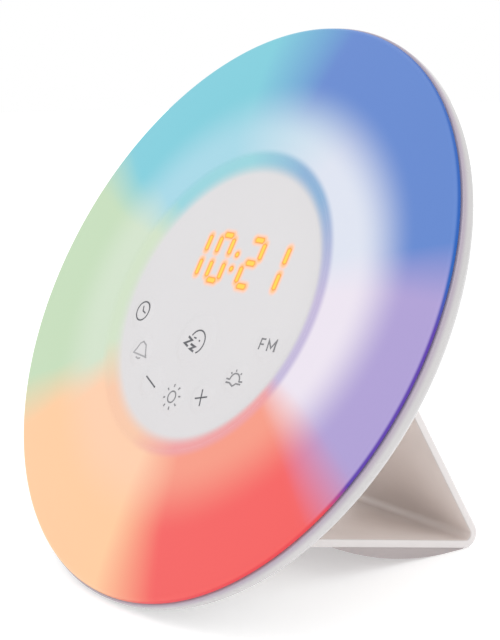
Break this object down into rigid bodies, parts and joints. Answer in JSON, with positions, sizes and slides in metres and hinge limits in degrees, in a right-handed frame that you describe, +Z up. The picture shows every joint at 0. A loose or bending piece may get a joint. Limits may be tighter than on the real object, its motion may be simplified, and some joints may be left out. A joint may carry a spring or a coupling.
{
  "type": "sunrise alarm clock",
  "caption": "Round glowing alarm clock leaning on a bent loop stand, with a recessed touch panel and digits shining through it.",
  "frame": {"origin": "on the ground, under the middle of the object's box", "axes": "+X across, to the right as one looks at the lit face; +Y away from the lit face, towards the rear bend of the stand; +Z up"},
  "size_m": [0.1714, 0.1162, 0.1524],
  "materials": {
    "opal_cover": "translucent opal, satin, glowing",
    "print": "matt screen print",
    "segment_light": "glowing amber",
    "white_plastic": "matt",
    "circuit_board": "satin solder mask",
    "foam": "matt foam",
    "light_board_enamel": "white solder mask",
    "emitter": "clear lens over phosphor",
    "housing_white": "glossy",
    "stand_white": "glossy",
    "chip_plastic": "matt",
    "tinned_steel": "dull",
    "aluminium_can": "satin",
    "ivory_plastic": "matt",
    "cable_white": "satin",
    "magnet": "dull",
    "rubber_black": "matt",
    "cone_paper": "pressed paper",
    "wire_red": "satin sleeve",
    "wire_black": "satin sleeve",
    "cell_steel": "polished",
    "contact_brass": "satin",
    "socket_black": "matt",
    "rubber_grey": "matt",
    "foot_rubber": "matt",
    "screw_steel": "zinc plated"
  },
  "bodies": {
    "clock": {"front_cover": "opal_cover", "key_legends": "print", "display_segments": "segment_light", "display_module": "white_plastic", "touch_board": "circuit_board", "touch_pads": "foam", "light_shield": "white_plastic", "light_board": "light_board_enamel", "light_emitters": "emitter", "reflector_tray": "white_plastic", "rear_housing": "housing_white", "main_board": "circuit_board", "board_chips": "chip_plastic", "radio_can": "tinned_steel", "capacitors": "aluminium_can", "board_connectors": "ivory_plastic", "ribbon_cable": "cable_white", "light_cable": "cable_white", "speaker_gasket": "foam", "speaker_frame": "tinned_steel", "speaker_magnet": "magnet", "speaker_surround": "rubber_black", "speaker_wires": "wire_red", "coin_cell": "cell_steel", "battery_contacts": "contact_brass", "battery_wires": "wire_black", "power_socket": "socket_black", "power_wires": "wire_black", "aerial_grommet": "rubber_grey", "stand": "stand_white", "foot_strip": "foot_rubber", "stand_screws": "screw_steel", "tray_screws": "screw_steel", "board_screws": "screw_steel", "touch_board_screws": "screw_steel", "speaker_screws": "screw_steel"},
    "battery_door": {"battery_door": "housing_white"},
    "speaker_cone": {"speaker_cone": "cone_paper"}
  },
  "joints": [
    {"name": "battery_door_slide", "type": "slide", "parent": "clock", "child": "battery_door", "axis": [-1, 0, 0], "range_m": [0, 0.03]},
    {"name": "speaker_cone_slide", "type": "slide", "parent": "clock", "child": "speaker_cone", "axis": [0, -0.8813, 0.4726], "range_m": [-0.0008, 0.0008], "stiffness_N_per_m": 800}
  ]
}
